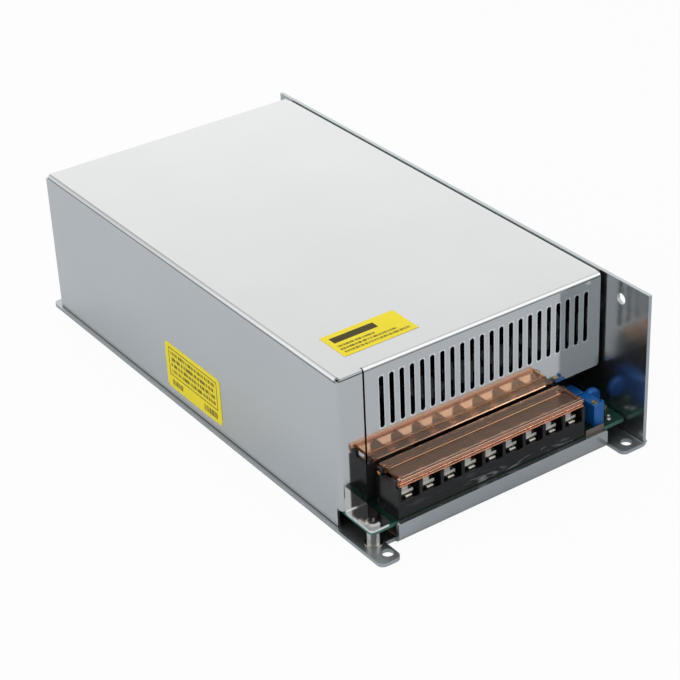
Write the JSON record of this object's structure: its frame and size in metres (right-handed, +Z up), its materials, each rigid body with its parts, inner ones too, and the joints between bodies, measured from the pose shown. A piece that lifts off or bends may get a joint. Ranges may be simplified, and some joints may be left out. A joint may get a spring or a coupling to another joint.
{
  "type": "switching power supply",
  "caption": "Enclosed switching power supply with a slotted folded cover, a barrier terminal row under an amber flip cover, mounting ears and a rear fan.",
  "frame": {"origin": "middle of the footprint, on the face the unit stands on", "axes": "+Z up out of the base, X along the terminal row, -Y the terminal end, +Y the fan end"},
  "size_m": [0.125, 0.242, 0.0651],
  "materials": {
    "zinc_sheet": "bright zinc plated folded sheet",
    "bright_sheet": "bright nickel plated folded sheet, mirror like",
    "screw_steel": "nickel plated screw",
    "standoff_metal": "plated brass pillar",
    "film": "brown insulating film",
    "board_green": "green solder mask on glass epoxy",
    "block_black": "black moulded nylon",
    "cover_amber": "clear amber moulding",
    "contact_tin": "tinned brass contact",
    "trimmer_blue": "blue moulded plastic",
    "brass": "brass",
    "lamp_green": "tinted lamp body",
    "disc_blue": "blue dipped coating",
    "disc_dark": "dark dipped coating",
    "fan_black": "black moulded plastic",
    "white_nylon": "white nylon",
    "can_sleeve": "dark sleeve over an aluminium can",
    "device_black": "moulded epoxy device body",
    "pad_grey": "silicone insulating pad",
    "aluminium": "bare aluminium",
    "ferrite": "sintered ferrite",
    "tape_yellow": "polyester winding tape",
    "powder_core": "coated powder core",
    "copper": "enamelled copper wire",
    "fuse_glass": "glass tube with plated caps",
    "box_grey": "moulded capacitor case",
    "label_yellow": "yellow printed sticker, no words"
  },
  "bodies": {
    "unit": {"chassis": "zinc_sheet", "cover": "bright_sheet", "cover_side_screws": "screw_steel", "cover_rear_screws": "screw_steel", "cover_corner_screw": "screw_steel", "standoffs": "standoff_metal", "board_screws": "screw_steel", "insulation_sheet": "film", "circuit_board": "board_green", "terminal_body": "block_black", "terminal_rails": "contact_tin", "terminal_clamps": "contact_tin", "terminal_screws": "screw_steel", "trimmer_body": "trimmer_blue", "indicator_led": "lamp_green", "front_disc_capacitor": "disc_blue", "front_film_capacitor": "trimmer_blue", "fan_frame": "fan_black", "fan_screws": "screw_steel", "fan_connector": "white_nylon", "bulk_capacitors": "can_sleeve", "output_capacitors": "can_sleeve", "output_rectifiers": "device_black", "switching_transistors": "device_black", "thermal_pads": "pad_grey", "clamp_bars": "aluminium", "clamp_screws": "screw_steel", "transformer_core": "ferrite", "transformer_coil": "tape_yellow", "driver_transformer": "tape_yellow", "output_inductor_core": "powder_core", "output_inductor_winding": "copper", "line_choke_core": "ferrite", "line_choke_windings": "copper", "fuse": "fuse_glass", "fuse_clips": "contact_tin", "thermistor": "disc_dark", "line_disc_capacitors": "disc_blue", "line_box_capacitor": "device_black", "coupling_capacitor": "box_grey", "bridge_rectifier": "device_black", "bridge_heatsink": "aluminium", "control_board": "board_green", "control_chips": "device_black", "control_capacitors": "can_sleeve", "load_resistors": "white_nylon", "selector_body": "device_black", "top_label": "label_yellow", "side_label": "label_yellow"},
    "terminal_cover": {"terminal_cover": "cover_amber"},
    "fan_rotor": {"fan_rotor": "fan_black"},
    "trimmer_screw": {"trimmer_screw": "brass"},
    "selector_slider": {"selector_slider": "white_nylon"}
  },
  "joints": [
    {"name": "terminal_cover_hinge", "type": "hinge", "parent": "unit", "child": "terminal_cover", "pos_m": [0, -0.0994, 0.0226], "axis": [-1, 0, 0], "range_deg": [0, 90]},
    {"name": "fan_spin", "type": "hinge", "parent": "unit", "child": "fan_rotor", "pos_m": [0, 0.0993, 0.0324], "axis": [0, 1, 0], "continuous": true},
    {"name": "trimmer_turn", "type": "hinge", "parent": "unit", "child": "trimmer_screw", "pos_m": [0.04785, -0.1074, 0.0172], "axis": [0, 0, 1], "continuous": true},
    {"name": "voltage_selector", "type": "slide", "parent": "unit", "child": "selector_slider", "axis": [0, -1, 0], "range_m": [0, 0.004]}
  ]
}
